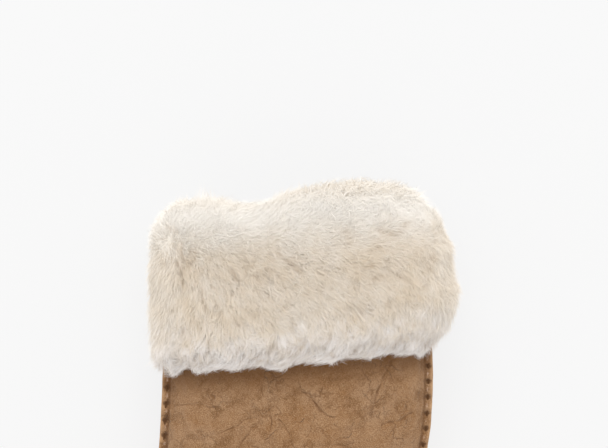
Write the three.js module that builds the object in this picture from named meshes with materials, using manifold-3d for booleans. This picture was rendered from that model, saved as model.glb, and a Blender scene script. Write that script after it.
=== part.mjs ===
// Shearling mitten for the left hand, lying on its palm with the back of the hand up.
// +X points to the little finger's side, +Y out of the mouth and +Z up. Millimetres.
//
// The pouch is two suede panels, back and palm, each cut with its half of the thumb and
// stitched together edge to edge, so that their edges stand out as a flat band all round.
// At the wrist the sheepskin is turned back over the pouch, wool side out, as a deep cuff
// whose lip rolls into the mouth.

import * as THREE from "three";
import { mergeVertices } from "three/addons/utils/BufferGeometryUtils.js";
import Module from "manifold-3d";

const wasm = await Module();
wasm.setup();

// Lengths of the mitten.
const handLength = 180; // cuff's lower edge to the fingertip
const cuffLength = 64; // cuff's lower edge to the fold at the mouth
const thumbLength = 112; // thumb's bend inside the pouch to its tip

// Pouch, without its stitched edge.
const palmWidth = 106.4;
const backRise = 19; // back panel above the seam
const palmDepth = 16; // palm panel below the seam
const wall = 3; // hide with its shorn wool
const handShift = 5; // how far the hand lies to the thumb's side of the sleeve
const sleeveOffset = -2; // middle of the sleeve, from the middle of the cuff

// Thumb, without its stitched edge.
const thumbWidth = 35;
const thumbRise = 15;
const thumbDepth = 15;
const thumbAngle = 52; // degrees between the thumb past its bend and the mitten's axis
const thumbAcross = 0.27; // root and bend, in palm widths from the sleeve's middle
const thumbRootDown = 0.072; // root, in hand lengths below the cuff's lower edge
const thumbBendDown = 0.362; // bend, in hand lengths below the cuff's lower edge

// Stitched edge: two hides laid face to face.
const edgeWidth = 3.3;
const edgeHide = 1.5; // thickness of one hide in the edge
const edgeBite = 2; // how far the edge runs into the wall that it is part of
const sleeveEdge = 0.35; // share of the edge's width that is left at the fold of the cuff

// Cuff.
const woolBack = 12; // pile on top of the turned-back hide
const woolUnder = 8; // pile pressed flat by the mitten's weight
const woolSide = 8; // pile past the stitched edge, where it is fullest
const lip = 6; // roll of wool past the fold
const lipInside = 24; // how far the wool is turned into the mouth
const lipWool = 5; // pile inside the mouth
const cuffSkew = 4.2; // degrees by which the cuff is turned back unevenly
const lockRise = 3; // how far a lock stands out of the wool under it

// Where the pieces lie.
const clearance = 0.3; // between pieces that touch
const floorFlat = 0.8; // depth of suede that the floor presses flat
const riseStart = 0.3; // of the hand's length: where the pouch starts to climb to the cuff

// Rows of the pouch's sleeve inside the cuff, from the mouth to the cuff's lower edge.
const SLEEVE_ROWS = [
  { along: 1.0, width: 0.975, rise: 1.0, depth: 1.0 },
  { along: 0.66, width: 0.98, rise: 0.98, depth: 1.0 },
  { along: 0.33, width: 0.985, rise: 0.95, depth: 0.99 },
];
// Rows of the hand, from the cuff's lower edge to the fingertip.
const HAND_ROWS = [
  { along: 0.0, width: 1.0, rise: 0.9, depth: 0.96 },
  { along: 0.14, width: 1.0, rise: 0.9, depth: 0.97 },
  { along: 0.28, width: 1.005, rise: 0.95, depth: 1.0 },
  { along: 0.42, width: 1.01, rise: 1.0, depth: 1.0 },
  { along: 0.56, width: 0.995, rise: 1.0, depth: 1.0 },
  { along: 0.69, width: 0.95, rise: 0.95, depth: 1.0 },
  { along: 0.8, width: 0.865, rise: 0.84, depth: 0.97 },
  { along: 0.885, width: 0.73, rise: 0.69, depth: 0.88 },
  { along: 0.945, width: 0.56, rise: 0.51, depth: 0.7 },
  { along: 0.985, width: 0.33, rise: 0.3, depth: 0.44 },
  { along: 1.0, width: 0.12, rise: 0.12, depth: 0.18 },
];
// Rows of the thumb. It grows out of the side of the pouch, so it is flat at its root.
const THUMB_ROWS = [
  { along: 0.0, width: 0.96, rise: 0.55, depth: 0.55 },
  { along: 0.2, width: 1.04, rise: 0.74, depth: 0.76 },
  { along: 0.38, width: 1.08, rise: 0.92, depth: 0.93 },
  { along: 0.54, width: 1.05, rise: 1.0, depth: 1.0 },
  { along: 0.7, width: 1.0, rise: 1.0, depth: 1.0 },
  { along: 0.83, width: 0.91, rise: 0.9, depth: 0.95 },
  { along: 0.92, width: 0.74, rise: 0.72, depth: 0.84 },
  { along: 0.975, width: 0.47, rise: 0.47, depth: 0.6 },
  { along: 1.0, width: 0.14, rise: 0.15, depth: 0.2 },
];
// Rows of the wool's outer form, from the lip to the cuff's lower edge. Full is the share
// of the pile on top and underneath, left and right are the shares at the sides.
const WOOL_ROWS = [
  { along: 1.0, full: 0.05, left: -0.9, right: -0.95 },
  { along: 0.975, full: 0.42, left: -0.5, right: -0.8 },
  { along: 0.93, full: 0.72, left: -0.15, right: -0.55 },
  { along: 0.86, full: 0.9, left: 0.12, right: -0.15 },
  { along: 0.76, full: 1.0, left: 0.28, right: 0.15 },
  { along: 0.6, full: 1.0, left: 0.32, right: 0.45 },
  { along: 0.4, full: 1.0, left: 0.32, right: 0.92 },
  { along: 0.25, full: 1.0, left: 0.34, right: 0.72 },
  { along: 0.12, full: 0.92, left: 0.15, right: 0.0 },
  { along: 0.04, full: 0.7, left: -0.1, right: -0.2 },
  { along: -0.01, full: 0.35, left: -0.5, right: -0.5 },
];
// Rows of the hollow through the lip: share of the pile inside the mouth that stands there.
const MOUTH_ROWS = [
  { along: 1.4, pile: -0.6 },
  { along: 1.05, pile: -0.2 },
  { along: 1.0, pile: 0.05 },
  { along: 0.85, pile: 0.6 },
  { along: 0.55, pile: 0.95 },
  { along: 0.25, pile: 0.9 },
  { along: 0.0, pile: 0.35 },
  { along: -0.05, pile: 0.2 },
];
// Shallow folds in the back: across is from the middle in half widths, along is from the
// cuff in hand lengths, long and wide are shares of the palm's width, deep is a share of
// the back's rise, and turn is the fold's angle to the X axis in degrees.
const BACK_FOLDS = [
  { across: -0.5, along: 0.36, long: 0.24, wide: 0.09, deep: 0.13, turn: 38 },
  { across: 0.28, along: 0.3, long: 0.34, wide: 0.1, deep: 0.1, turn: -20 },
  { across: -0.12, along: 0.52, long: 0.42, wide: 0.12, deep: 0.13, turn: 7 },
  { across: 0.3, along: 0.68, long: 0.32, wide: 0.1, deep: 0.12, turn: -12 },
  { across: -0.25, along: 0.78, long: 0.24, wide: 0.08, deep: 0.09, turn: 18 },
];
// Tiers of locks fused round the cuff, each lying over the next. Root and tip are shares of
// the cuff's length, turn and drift are in locks, and stand is a share of lockRise.
const TIER_ROWS = [
  { root: 0.6, tip: 1.0, locks: 15, turn: 0.3, drift: 0.3, stand: 0.9 },
  { root: 0.8, tip: 0.38, locks: 16, turn: 0.0, drift: 0.6, stand: 1.0 },
  { root: 0.57, tip: 0.17, locks: 17, turn: 0.55, drift: 0.7, stand: 1.0 },
  { root: 0.36, tip: -0.05, locks: 16, turn: 0.2, drift: 0.6, stand: 0.95 },
];
// Rows of one lock from its root to its tip: stand is below zero where it is sunk.
const LOCK_ROWS = [
  { share: 0.0, stand: -0.5 },
  { share: 0.35, stand: 0.7 },
  { share: 0.7, stand: 1.0 },
  { share: 0.9, stand: 0.65 },
  { share: 1.0, stand: -0.5 },
];
const lockNotch = 0.42; // how far the valley between two locks cuts back, in lock lengths
const lockValley = 0.6; // depth of that valley, as a share of the lock's stand
const lockUneven = 0.25; // how much the locks of a tier differ in length and width

// Roundness of a section's upper and lower half: z falls from its middle to its side as
// (1 - u ** flat) ** round, with u from 0 in the middle to 1 at the side.
const SUEDE_PROFILE = { upFlat: 2.3, upRound: 0.6, downFlat: 3.2, downRound: 0.52 };
const WOOL_PROFILE = { upFlat: 3.0, upRound: 0.5, downFlat: 3.4, downRound: 0.46 };

// How finely the solids are faceted.
const pouchSides = 36;
const hollowSides = 24;
const thumbSides = 18;
const cuffSides = 32;
const stationsPerRow = 2;
const edgeSteps = 60;
const thumbEdgeSteps = 40;
const lockSteps = 4; // across each lock

const past = 20; // overshoot of cutting bodies past what they cut
const crumb = 0.1; // facets finer than this are merged
const { degToRad, lerp, inverseLerp, smoothstep, seededRandom } = THREE.MathUtils;

const suede = new THREE.MeshStandardMaterial({
  color: 0x9d7959,
  roughness: 0.95,
  metalness: 0,
});
const wool = new THREE.MeshStandardMaterial({
  color: 0xdccfbc,
  roughness: 1,
  metalness: 0,
});

// Height of the seam above the floor. The palm lies flat, and the sleeve is held up by
// the wool under it.
const palmLevel = palmDepth - floorFlat;
const sleeveLevel = woolUnder + palmDepth + clearance;
function seamHeight(y) {
  return lerp(palmLevel, sleeveLevel, smoothstep(y, -riseStart * handLength, 0));
}

// Middle of the pouch at y: straight in the cuff, eased to the thumb's side below it.
function pouchMiddle(y) {
  return sleeveOffset - handShift * smoothstep(-y, 0, riseStart * handLength);
}

// The cuff is turned back unevenly, so its rings are skewed, and the pouch's rings ease
// into the same skew just below it.
function skewed(x, y) {
  const share = smoothstep(y, -riseStart * handLength, 0);
  return new THREE.Vector2(x, y + share * Math.tan(degToRad(cuffSkew)) * x);
}

// The thumb's axis leaves the root along the hand and bends to the side. Its own rows go
// down -Y from 0 to minus the axis's length.
const thumbRoot = new THREE.Vector2(
  sleeveOffset - thumbAcross * palmWidth,
  -thumbRootDown * handLength,
);
const thumbBend = new THREE.Vector2(thumbRoot.x, -thumbBendDown * handLength);
const thumbTip = new THREE.Vector2(0, -thumbLength)
  .rotateAround(new THREE.Vector2(), -degToRad(thumbAngle))
  .add(thumbBend);
const thumbAxis = new THREE.QuadraticBezierCurve(thumbRoot, thumbBend, thumbTip);
const thumbAxisLength = thumbAxis.getLength();
function thumbPlace(x, y) {
  const share = Math.min(-y / thumbAxisLength, 1);
  const way = thumbAxis.getTangentAt(share);
  const beyond = -y - share * thumbAxisLength;
  const across = new THREE.Vector2(-way.y, way.x);
  return thumbAxis
    .getPointAt(share)
    .addScaledVector(across, x)
    .addScaledVector(way, beyond);
}

// Depth of the back's folds at a point of the mitten.
function foldDepth(x, y) {
  let depth = 0;
  for (const fold of BACK_FOLDS) {
    const centreY = -fold.along * handLength;
    const centreX = pouchMiddle(centreY) + (fold.across * palmWidth) / 2;
    const turned = new THREE.Vector2(x - centreX, y - centreY).rotateAround(
      new THREE.Vector2(),
      -degToRad(fold.turn),
    );
    const across = turned.x / (fold.long * palmWidth);
    const along = turned.y / (fold.wide * palmWidth);
    depth += fold.deep * backRise * Math.exp(-across * across - along * along);
  }
  return depth;
}

// Stations between the rows of a table, every column on a Catmull-Rom curve.
function smoothRows(rows, perRow) {
  const columns = Object.keys(rows[0]);
  const stations = [];
  for (let i = 0; i < rows.length - 1; i += 1) {
    const near = [Math.max(i - 1, 0), i, i + 1, Math.min(i + 2, rows.length - 1)];
    for (let step = 0; step < perRow; step += 1) {
      const t = step / perRow;
      const station = {};
      for (const column of columns) {
        const [a, b, c, d] = near.map((row) => rows[row][column]);
        const bend = 2 * a - 5 * b + 4 * c - d + t * (3 * b - a - 3 * c + d);
        station[column] = b + 0.5 * t * (c - a + t * bend);
      }
      stations.push(station);
    }
  }
  return [...stations, rows.at(-1)];
}

// Point of a section at an angle from +X over the top to -X and back underneath.
function sectionPoint(section, profile, angle, place) {
  const u = Math.cos(angle);
  const spot = place(section.middle + section.half * u, section.y);
  const level = seamHeight(spot.y);
  const upper = section.up * (1 - Math.abs(u) ** profile.upFlat) ** profile.upRound;
  const lower = section.down * (1 - Math.abs(u) ** profile.downFlat) ** profile.downRound;
  const fold = section.folded ? foldDepth(spot.x, spot.y) * (upper / backRise) : 0;
  const z = Math.sin(angle) >= 0 ? level + upper - fold : level - lower;
  return new THREE.Vector3(spot.x, spot.y, z);
}

function ring(section, profile, sides, place) {
  const points = [];
  for (let i = 0; i < sides; i += 1) {
    points.push(sectionPoint(section, profile, (2 * Math.PI * i) / sides, place));
  }
  return points;
}

// Closed skin over rings that each turn right-handed about the way they follow each
// other, with a fan of triangles over each end.
function loft(rings) {
  const sides = rings[0].length;
  const ends = [rings[0], rings.at(-1)].map((points) =>
    points.reduce((sum, p) => sum.add(p), new THREE.Vector3()).divideScalar(sides),
  );
  const points = [...rings.flat(), ...ends];
  const [startCentre, endCentre] = [points.length - 2, points.length - 1];
  const lastRing = (rings.length - 1) * sides;
  const index = [];
  for (let i = 0; i < sides; i += 1) {
    const next = (i + 1) % sides;
    for (let first = 0; first < lastRing; first += sides) {
      index.push(first + i, first + next, first + sides + next);
      index.push(first + i, first + sides + next, first + sides + i);
    }
    index.push(startCentre, next, i);
    index.push(endCentre, lastRing + i, lastRing + next);
  }
  return new THREE.BufferGeometry().setFromPoints(points).setIndex(index);
}

// Solid of a closed geometry, for cutting and joining.
function solid(geometry) {
  const bare = geometry.clone().deleteAttribute("normal").deleteAttribute("uv");
  const merged = mergeVertices(bare, 1e-4);
  const vertProperties = merged.attributes.position.array;
  const triVerts = new Uint32Array(merged.index.array);
  return new wasm.Manifold(new wasm.Mesh({ numProp: 3, vertProperties, triVerts }));
}

// Stations of the pouch, from the mouth to the fingertip, grown or shrunk all round.
function pouchStations(grow) {
  const rows = [
    ...SLEEVE_ROWS.map((row) => ({ ...row, y: row.along * cuffLength })),
    ...HAND_ROWS.map((row) => ({ ...row, y: -row.along * (handLength + grow) })),
  ];
  return smoothRows(rows, stationsPerRow).map((row) => ({
    y: row.y,
    middle: pouchMiddle(row.y),
    half: row.width * (palmWidth / 2 + grow),
    up: row.rise * (backRise + grow),
    down: row.depth * (palmDepth + grow),
    folded: true,
  }));
}

// Pouch as one full body, grown or shrunk, from extra past the fold to the fingertip.
function pouchBody(grow, sides, extra) {
  const stations = pouchStations(grow);
  const mouth = { ...stations[0], y: cuffLength + extra };
  const all = extra > 0 ? [mouth, ...stations] : stations;
  return solid(loft(all.map((s) => ring(s, SUEDE_PROFILE, sides, skewed))));
}

// Stations and body of the thumb in the same way.
function thumbStations(grow) {
  return smoothRows(THUMB_ROWS, stationsPerRow).map((row) => ({
    y: -row.along * (thumbAxisLength + grow),
    middle: 0,
    half: row.width * (thumbWidth / 2 + grow),
    up: row.rise * (thumbRise + grow),
    down: row.depth * (thumbDepth + grow),
  }));
}
function thumbBody(grow) {
  const rings = thumbStations(grow).map((s) =>
    ring(s, SUEDE_PROFILE, thumbSides, thumbPlace),
  );
  return solid(loft(rings));
}

// Band along the outline of a row of stations: down its -X side, round its tip and up its
// +X side, from edgeBite inside the outline to its stitched edge outside.
function edgeBand(stations, place, steps, grow) {
  const side = (way) => (s, i) =>
    place(s.middle + way * s.half, i === 0 ? s.y + grow : s.y);
  const outline = [
    ...stations.map(side(-1)),
    ...stations.map(side(1)).reverse(),
  ].map((p) => new THREE.Vector3(p.x, p.y, 0));
  const path = new THREE.CatmullRomCurve3(outline, false, "centripetal");
  const rings = [];
  for (let i = 0; i <= steps; i += 1) {
    const point = path.getPointAt(i / steps);
    const along = path.getTangentAt(i / steps);
    const corner = (out, height) => {
      const x = point.x + along.y * out;
      const y = point.y - along.x * out;
      return new THREE.Vector3(x, y, seamHeight(y) + height);
    };
    const half = edgeHide + clearance / 2 + grow;
    const trim = lerp(1, sleeveEdge, smoothstep(point.y, 0, cuffLength));
    const out = edgeWidth * trim + grow;
    rings.push([
      corner(-edgeBite, -half),
      corner(-edgeBite, half),
      corner(out, half),
      corner(out, -half),
    ]);
  }
  return solid(loft(rings));
}

// All space above the seam, less half the gap between the two hides, and the space below.
function seamSpace(side) {
  const [low, high] = [-handLength - past, cuffLength + lip + past];
  const steps = 40;
  const profile = [];
  for (let i = 0; i <= steps; i += 1) {
    const y = lerp(low, high, i / steps);
    profile.push(new THREE.Vector2(y, seamHeight(y) + (side * clearance) / 2));
  }
  const far = side > 0 ? backRise + sleeveLevel + past : -past;
  const corners = [new THREE.Vector2(high, far), new THREE.Vector2(low, far)];
  const width = 2 * (palmWidth + thumbLength);
  const block = new THREE.ExtrudeGeometry(new THREE.Shape([...profile, ...corners]), {
    depth: width,
    bevelEnabled: false,
  });
  const turn = new THREE.Matrix4().makeBasis(
    new THREE.Vector3(0, 1, 0),
    new THREE.Vector3(0, 0, 1),
    new THREE.Vector3(1, 0, 0),
  );
  return solid(block.applyMatrix4(turn).translate(-width / 2, 0, 0));
}

// The largest connected skin of a body, without crumbs, bubbles or needless facets.
function whole(body) {
  const skins = body.decompose();
  return skins.reduce((a, b) => (b.volume() > a.volume() ? b : a)).simplify(crumb);
}

// Everything above the floor.
function aboveFloor() {
  const side = 4 * (handLength + cuffLength);
  return solid(new THREE.BoxGeometry(side, side, side).translate(0, 0, side / 2));
}

// Everything on the mouth's side of y, along the cuff's skew.
function beyond(y) {
  const side = 4 * (handLength + cuffLength);
  const block = new THREE.BoxGeometry(side, side, side).translate(0, side / 2, 0);
  return solid(block.rotateZ(degToRad(cuffSkew)).translate(0, y, 0));
}

// Suede panels: the wall of the pouch and thumb with the stitched edge round both.
function suedePanels() {
  const full = wasm.Manifold.union([
    pouchBody(0, pouchSides, 0),
    thumbBody(0),
    edgeBand(pouchStations(0), skewed, edgeSteps, 0),
    edgeBand(thumbStations(0), thumbPlace, thumbEdgeSteps, 0),
  ]);
  const suede = full.subtract(pouchBody(-wall, hollowSides, past)).subtract(thumbBody(-wall));
  return {
    back_panel: whole(suede.intersect(seamSpace(1))),
    palm_panel: whole(suede.intersect(seamSpace(-1)).intersect(aboveFloor())),
  };
}

// Section of the wool's outer form at a share of the cuff's length, with a lock's stand.
const cuffReach = cuffLength + lip;
const woolStations = smoothRows(WOOL_ROWS, stationsPerRow);
function woolSection(along, stand) {
  const next = woolStations.findIndex((row) => row.along <= along);
  const [a, b] = [woolStations.at(Math.max(next - 1, -2)), woolStations.at(next)];
  const t = next > 0 ? inverseLerp(a.along, b.along, along) : Number(next < 0);
  const share = (column) => lerp(a[column], b[column], t);
  const [left, right] = [woolSide * share("left"), woolSide * share("right")];
  return {
    y: along * cuffReach,
    middle: sleeveOffset + (right - left) / 2,
    half: palmWidth / 2 + edgeWidth + (left + right) / 2 + stand,
    up: backRise + woolBack * share("full") + stand,
    down: palmDepth + woolUnder * share("full") + floorFlat + stand,
  };
}

// One tier of locks as a full body, whose skin dives under the form's at root and tip.
function lockTier(tier, t) {
  const sides = tier.locks * lockSteps;
  const chance = (lock, salt) =>
    lockUneven * (seededRandom(97 * t + 13 * (lock % tier.locks) + salt) - 0.5);
  const rings = LOCK_ROWS.map((row) => {
    const points = [];
    for (let i = 0; i < sides; i += 1) {
      const lock = Math.floor(i / lockSteps);
      const across = (2 * (i % lockSteps)) / lockSteps - 1;
      const valley = Math.abs(across) ** 1.5;
      const shift = lerp(chance(lock, 1), chance(lock + 1, 1), (across + 1) / 2);
      const turn = tier.turn + tier.drift * row.share + shift + i / lockSteps;
      const length = 1 + chance(lock, 2) * (1 - valley) - lockNotch * valley;
      const along = lerp(tier.root, tier.tip, row.share * lerp(1, length, row.share));
      const rise = tier.stand * lockRise * row.stand;
      const stand = row.stand > 0 ? rise * (1 - lockValley * valley) : rise;
      const angle = (2 * Math.PI * turn) / tier.locks;
      const section = woolSection(along, stand);
      points.push(sectionPoint(section, WOOL_PROFILE, angle, skewed));
    }
    return points;
  });
  return solid(loft(tier.tip < tier.root ? rings : rings.reverse()));
}

// Cuff: wool outside the turned-back sleeve, over its fold and a little way into the mouth.
function furCuff() {
  const form = woolStations.map((row) => woolSection(row.along, 0));
  const outer = solid(loft(form.map((s) => ring(s, WOOL_PROFILE, cuffSides, skewed))));
  const seat = pouchBody(clearance, pouchSides, clearance).add(
    edgeBand(pouchStations(0), skewed, edgeSteps, clearance),
  );
  const inner = pouchStations(-wall - clearance)[0];
  const legSection = (y, pile) => ({
    ...inner,
    y,
    half: inner.half - pile * lipWool * 1.6,
    up: inner.up - pile * lipWool,
    down: inner.down - pile * lipWool,
  });
  const legEnd = cuffLength - lipInside;
  const leg = pouchBody(-wall - clearance, hollowSides, lip / 2).intersect(
    beyond(legEnd),
  );
  const mouth = smoothRows(MOUTH_ROWS, 1).map((row) =>
    legSection(lerp(legEnd, cuffLength + lip, row.along), row.pile),
  );
  const hollow = solid(
    loft(mouth.map((s) => ring(s, SUEDE_PROFILE, hollowSides, skewed))),
  );
  const locks = wasm.Manifold.union(TIER_ROWS.map(lockTier));
  const cuff = outer.add(locks).subtract(seat).add(leg).subtract(hollow);
  return whole(cuff.intersect(aboveFloor()));
}

// Named mesh of a solid.
function mesh(name, body, material) {
  const { numProp, vertProperties, triVerts } = body.getMesh();
  const points = [];
  for (let i = 0; i < vertProperties.length; i += numProp) {
    points.push(new THREE.Vector3().fromArray(vertProperties, i));
  }
  const geometry = new THREE.BufferGeometry().setFromPoints(points);
  geometry.setIndex([...triVerts]);
  geometry.computeVertexNormals();
  const made = new THREE.Mesh(geometry, material);
  made.name = name;
  return made;
}

const mitten = new THREE.Group();
for (const [name, body] of Object.entries(suedePanels())) {
  mitten.add(mesh(name, body, suede));
}
mitten.add(mesh("fur_cuff", furCuff(), wool));

// The origin is on the floor under the middle of the mitten's box.
const middle = new THREE.Box3().setFromObject(mitten).getCenter(new THREE.Vector3());
mitten.position.set(-middle.x, -middle.y, 0);

export default mitten;
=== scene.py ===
import math

import bmesh
import bpy
import numpy as np
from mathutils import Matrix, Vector, kdtree, noise
from mathutils.bvhtree import BVHTree


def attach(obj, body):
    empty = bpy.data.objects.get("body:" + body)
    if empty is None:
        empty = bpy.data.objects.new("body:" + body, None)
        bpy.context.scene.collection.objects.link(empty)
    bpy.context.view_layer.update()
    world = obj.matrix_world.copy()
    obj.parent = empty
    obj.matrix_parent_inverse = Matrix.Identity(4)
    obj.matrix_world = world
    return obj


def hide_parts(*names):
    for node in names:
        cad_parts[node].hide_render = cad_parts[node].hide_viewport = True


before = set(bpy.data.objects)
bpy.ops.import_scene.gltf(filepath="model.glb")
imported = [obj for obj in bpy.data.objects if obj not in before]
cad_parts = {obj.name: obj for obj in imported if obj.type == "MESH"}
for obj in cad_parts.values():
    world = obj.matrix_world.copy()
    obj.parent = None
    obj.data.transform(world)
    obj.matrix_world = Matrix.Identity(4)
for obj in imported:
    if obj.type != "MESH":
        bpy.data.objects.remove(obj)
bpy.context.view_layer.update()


# The table: a wide white light board that the mitten lies on, with its palm down and the
# back of the hand up. It is lit softly from below, so that the shade round the mitten stays
# faint. One broad soft lamp hangs beyond the mouth's end and the room is white.
bpy.ops.object.select_all(action="DESELECT")
bpy.ops.mesh.primitive_plane_add(size=8, location=(0.03, 0.05, 0))
table = bpy.context.active_object
table.name = "table"

opal = bpy.data.materials.new("opal board")
opal.use_nodes = True
opal_shader = opal.node_tree.nodes["Principled BSDF"]
opal_shader.inputs["Base Color"].default_value = (0.11, 0.11, 0.11, 1)
opal_shader.inputs["Roughness"].default_value = 0.9
opal_shader.inputs["Specular IOR Level"].default_value = 0.0
opal_shader.inputs["Emission Color"].default_value = (1, 1, 1, 1)
opal_shader.inputs["Emission Strength"].default_value = 0.803
table.data.materials.append(opal)

LAMP_PLACE = Vector((-0.05, 1.45, 1.25))
LAMP_AIM = Vector((0.03, 0.08, 0))
lamp_data = bpy.data.lights.new("key softbox", "AREA")
lamp_data.shape = "SQUARE"
lamp_data.size = 1.3
lamp_data.energy = 17.0
lamp = bpy.data.objects.new("key softbox", lamp_data)
lamp.location = LAMP_PLACE
lamp.rotation_mode = "QUATERNION"
lamp.rotation_quaternion = (LAMP_AIM - LAMP_PLACE).to_track_quat("-Z", "Y")
bpy.context.scene.collection.objects.link(lamp)

room = bpy.data.worlds.new("white room")
bpy.context.scene.world = room
room.use_nodes = True
white_walls = room.node_tree.nodes["Background"]
white_walls.inputs["Color"].default_value = (1, 1, 1, 1)
white_walls.inputs["Strength"].default_value = 0.99
bpy.context.scene.view_settings.view_transform = "Standard"

# The camera looks straight down from far off. At VIEW_LEVEL, about the seam's height, its
# view is VIEW_WIDTH across, in metres.
VIEW_CENTRE = (0.03032, 0.11097)
VIEW_WIDTH = 0.2533
VIEW_LEVEL = 0.02
EYE_ABOVE = 1.6
SENSOR_WIDTH = 36
camera_data = bpy.data.cameras.new("camera")
camera_data.sensor_width = SENSOR_WIDTH
camera_data.lens = SENSOR_WIDTH * EYE_ABOVE / VIEW_WIDTH
camera_data.clip_start = 0.05
camera = bpy.data.objects.new("camera", camera_data)
camera.location = (*VIEW_CENTRE, VIEW_LEVEL + EYE_ABOVE)
bpy.context.scene.collection.objects.link(camera)
bpy.context.scene.camera = camera


# Back panel and palm panel: two pieces of sheepskin, suede side out and wool side in. They
# are cut alike, with half of the thumb in one with each, and are laid wool to wool. The
# suede is cut to 3 mm and creases softly; where it bends inwards it is darkened with painted shade.
ORIGIN = np.array([30.320, 54.302, 0.0])  # middle of the cuff's lower edge, on the table
HIDE_GRAIN = 0.00115  # size of a panel's faces, in metres
HIDE_ROUNDS = 3
BAND = 3.2  # the flat stitched edge is this wide, in mm
SEAM_AT_HAND, SEAM_AT_CUFF = 15.2, 24.3  # heights of the seam, in mm
STITCH_PITCH = 6.7
STITCH_INSET = 1.9


def ramp(x, low, high):
    """0 below low, 1 above high, and smooth between."""
    t = np.clip((x - low) / (high - low), 0, 1)
    return t * t * (3 - 2 * t)


def seam_height(y):
    """How high the seam between the panels lies, in mm, at y mm from the cuff's lower edge."""
    return SEAM_AT_HAND + (SEAM_AT_CUFF - SEAM_AT_HAND) * ramp(y, -54, 0)


def select_only(piece):
    """Selects one piece alone, for the operators that follow."""
    bpy.ops.object.select_all(action="DESELECT")
    bpy.context.view_layer.objects.active = piece
    piece.select_set(True)


def merged_copy(node, name):
    """A copy of a CAD node with its loose triangles joined into one skin."""
    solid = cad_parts[node]
    mesh = solid.data.copy()
    mesh.transform(solid.matrix_world)
    mesh.materials.clear()
    copy = bpy.data.objects.new(name, mesh)
    bpy.context.scene.collection.objects.link(copy)
    select_only(copy)
    bpy.ops.object.mode_set(mode="EDIT")
    bpy.ops.mesh.select_all(action="SELECT")
    bpy.ops.mesh.remove_doubles(threshold=1e-5)
    bpy.ops.object.mode_set(mode="OBJECT")
    return copy


def round_off(piece, rounds):
    """Draws each point halfway to the middle of its neighbours, so many times over."""
    select_only(piece)
    smooth = piece.modifiers.new("rounded", "SMOOTH")
    smooth.factor = 0.5
    smooth.iterations = rounds
    bpy.ops.object.modifier_apply(modifier=smooth.name)


def soften(piece, grain, rounds):
    """Rebuilds a piece in small even faces and rounds its hard edges."""
    select_only(piece)
    even = piece.modifiers.new("even faces", "REMESH")
    even.mode = "VOXEL"
    even.voxel_size = grain
    bpy.ops.object.modifier_apply(modifier=even.name)
    round_off(piece, rounds)
    piece.data.shade_smooth()


def points_of(mesh):
    """The mesh's points in mm, measured from the middle of the cuff's lower edge."""
    flat = np.empty(len(mesh.vertices) * 3, np.float32)
    mesh.vertices.foreach_get("co", flat)
    return flat.reshape(-1, 3).astype(float) * 1000 - ORIGIN


def normals_of(mesh):
    """The way that the surface faces at each point."""
    flat = np.empty(len(mesh.vertices) * 3, np.float32)
    mesh.vertex_normals.foreach_get("vector", flat)
    return flat.reshape(-1, 3).astype(float)


def put_points(mesh, points):
    """Moves the mesh's points to places in mm, as points_of gives them."""
    flat = ((points + ORIGIN) / 1000).astype(np.float32).ravel()
    mesh.vertices.foreach_set("co", flat)
    mesh.update()


def mark(mesh, name, values):
    """Keeps one number for each point, for the materials to read."""
    layer = mesh.attributes.new(name, "FLOAT", "POINT")
    layer.data.foreach_set("value", np.asarray(values, np.float32))


def cloudy(points, size, seed):
    """Smooth noise from -1 to 1 with hills about size mm apart."""
    shift = Vector((seed * 17.3, seed * -9.1, seed * 5.7))
    return np.array([noise.noise(Vector(p) / size + shift) for p in points])


def edge_of_band(node):
    """The outer edge of the stitched band, in order: a level cut just above the seam."""
    above_seam = 0.9
    copy = merged_copy(node, "pattern")
    bm = bmesh.new()
    bm.from_mesh(copy.data)
    bpy.data.objects.remove(copy)
    for vert in bm.verts:
        vert.co = Vector(np.array(vert.co) * 1000 - ORIGIN)
        vert.co.z -= float(seam_height(vert.co.y))
    cut = bmesh.ops.bisect_plane(
        bm,
        geom=bm.verts[:] + bm.edges[:] + bm.faces[:],
        plane_co=(0, 0, above_seam),
        plane_no=(0, 0, 1),
    )["geom_cut"]
    edges = {e for e in cut if isinstance(e, bmesh.types.BMEdge)}
    loops = []
    while edges:
        first = edges.pop()
        loop = [first.verts[0], first.verts[1]]
        while True:
            following = next((e for e in loop[-1].link_edges if e in edges), None)
            if following is None:
                break
            edges.remove(following)
            loop.append(following.other_vert(loop[-1]))
        loops.append(np.array([v.co[:2] for v in loop]))
    bm.free()
    loop = max(loops, key=len)
    # The cut runs round the outside and back inside, so it is parted at the mouth. The
    # outside is the longer half.
    ends = [np.argmax(np.where(side * (loop[:, 0] + 2) > 0, loop[:, 1], -999)) for side in (-1, 1)]
    loop = np.roll(loop, -ends[0], axis=0)
    far = (ends[1] - ends[0]) % len(loop)
    halves = [loop[: far + 1], np.concatenate([loop[far:], loop[:1]])[::-1]]
    return max(halves, key=lambda h: np.linalg.norm(np.diff(h, axis=0), axis=1).sum())


def walked(line, step):
    """The same line with its points step mm apart, and how far along each one is."""
    lengths = np.linalg.norm(np.diff(line, axis=0), axis=1)
    along = np.concatenate([[0], np.cumsum(lengths)])
    at = np.arange(0, along[-1], step)
    return np.stack([np.interp(at, along, line[:, i]) for i in (0, 1)], axis=1), at


# How the pouch's two edges have settled: mm towards the little finger, by mm along.
RIGHT_EDGE = [
    (-62, 0.0), (-48, 0.6), (-36, 0.7), (-28, 1.1), (-20, 0.5), (-14, 0.1), (-6, -0.5),
    (4, -1.2), (30, 0.0),
]
LEFT_EDGE = [
    (-74, 0.0), (-60, 0.6), (-46, 1.6), (-36, 1.7), (-28, 1.0), (-20, 0.3), (-8, -0.2),
    (4, 0.0),
]


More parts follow.
